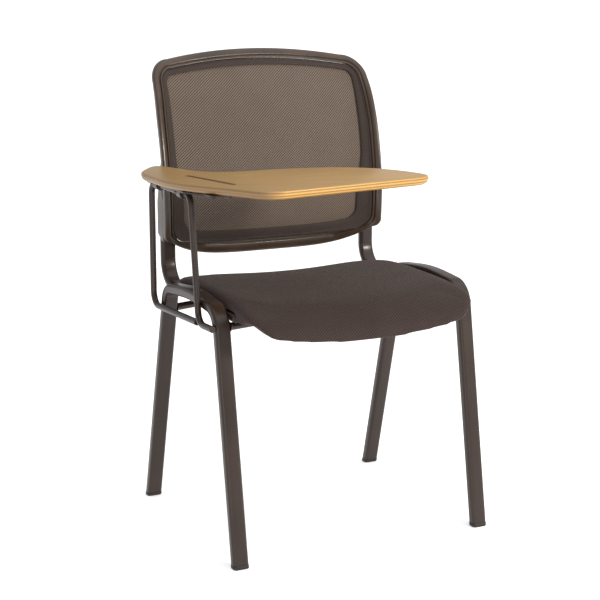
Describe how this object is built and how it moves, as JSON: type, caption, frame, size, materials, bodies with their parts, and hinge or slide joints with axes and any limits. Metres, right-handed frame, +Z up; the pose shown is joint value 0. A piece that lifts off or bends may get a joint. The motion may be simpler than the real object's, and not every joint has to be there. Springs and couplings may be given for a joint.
{
  "type": "tablet arm chair",
  "caption": "Visitor and training chair with a curved mesh back, a padded seat on an arched tube frame, and a wooden writing tablet that flips up on one side.",
  "frame": {"origin": "on the floor, under the middle of the whole chair's bounding box", "axes": "+Z up; the chair faces -Y, and the tablet is on the -X side, the sitter's right"},
  "size_m": [0.5776, 0.5406, 0.893],
  "materials": {
    "coated_steel": "semi-gloss dark brown powder coat",
    "glide_plastic": "matt moulded",
    "back_plastic": "satin, slightly glossy",
    "carrier_plastic": "matt, fine texture",
    "shell_plastic": "matt moulded",
    "seat_cloth": "plain woven cloth over foam",
    "mesh_net": "tight diagonal net",
    "tablet_wood": "satin lacquer over layered wood",
    "zinc_steel": "blackened zinc plating",
    "rubber": "matt",
    "nylon": "dark nylon"
  },
  "bodies": {
    "chair": {"right_side_frame": "coated_steel", "left_side_frame": "coated_steel", "front_right_glide": "glide_plastic", "rear_right_glide": "glide_plastic", "front_left_glide": "glide_plastic", "rear_left_glide": "glide_plastic", "front_cross_tube": "coated_steel", "rear_cross_tube": "coated_steel", "right_back_post": "coated_steel", "right_post_plug": "glide_plastic", "left_back_post": "coated_steel", "left_post_plug": "glide_plastic", "seat_shell": "shell_plastic", "seat_pad": "seat_cloth", "front_right_seat_screw": "zinc_steel", "rear_right_seat_screw": "zinc_steel", "front_left_seat_screw": "zinc_steel", "rear_left_seat_screw": "zinc_steel", "back_frame": "back_plastic", "mesh_carrier": "carrier_plastic", "back_mesh": "mesh_net", "lower_right_back_screw": "zinc_steel", "upper_right_back_screw": "zinc_steel", "lower_left_back_screw": "zinc_steel", "upper_left_back_screw": "zinc_steel", "tablet_rod_frame": "coated_steel", "tablet_stop_tab": "coated_steel", "tablet_stop_buffer": "rubber"},
    "tablet": {"tablet_plate": "coated_steel", "front_hinge_saddle": "coated_steel", "front_hinge_bush": "nylon", "front_saddle_outer_rivet": "zinc_steel", "front_saddle_inner_rivet": "zinc_steel", "rear_hinge_saddle": "coated_steel", "rear_hinge_bush": "nylon", "rear_saddle_outer_rivet": "zinc_steel", "rear_saddle_inner_rivet": "zinc_steel", "tablet_board": "tablet_wood", "front_outer_tablet_screw": "zinc_steel", "front_inner_tablet_screw": "zinc_steel", "rear_outer_tablet_screw": "zinc_steel", "rear_inner_tablet_screw": "zinc_steel"}
  },
  "joints": [
    {"name": "tablet_flip", "type": "hinge", "parent": "chair", "child": "tablet", "pos_m": [-0.2481, -0.0136, 0.654], "axis": [0, -1, 0], "range_deg": [0, 90]}
  ]
}
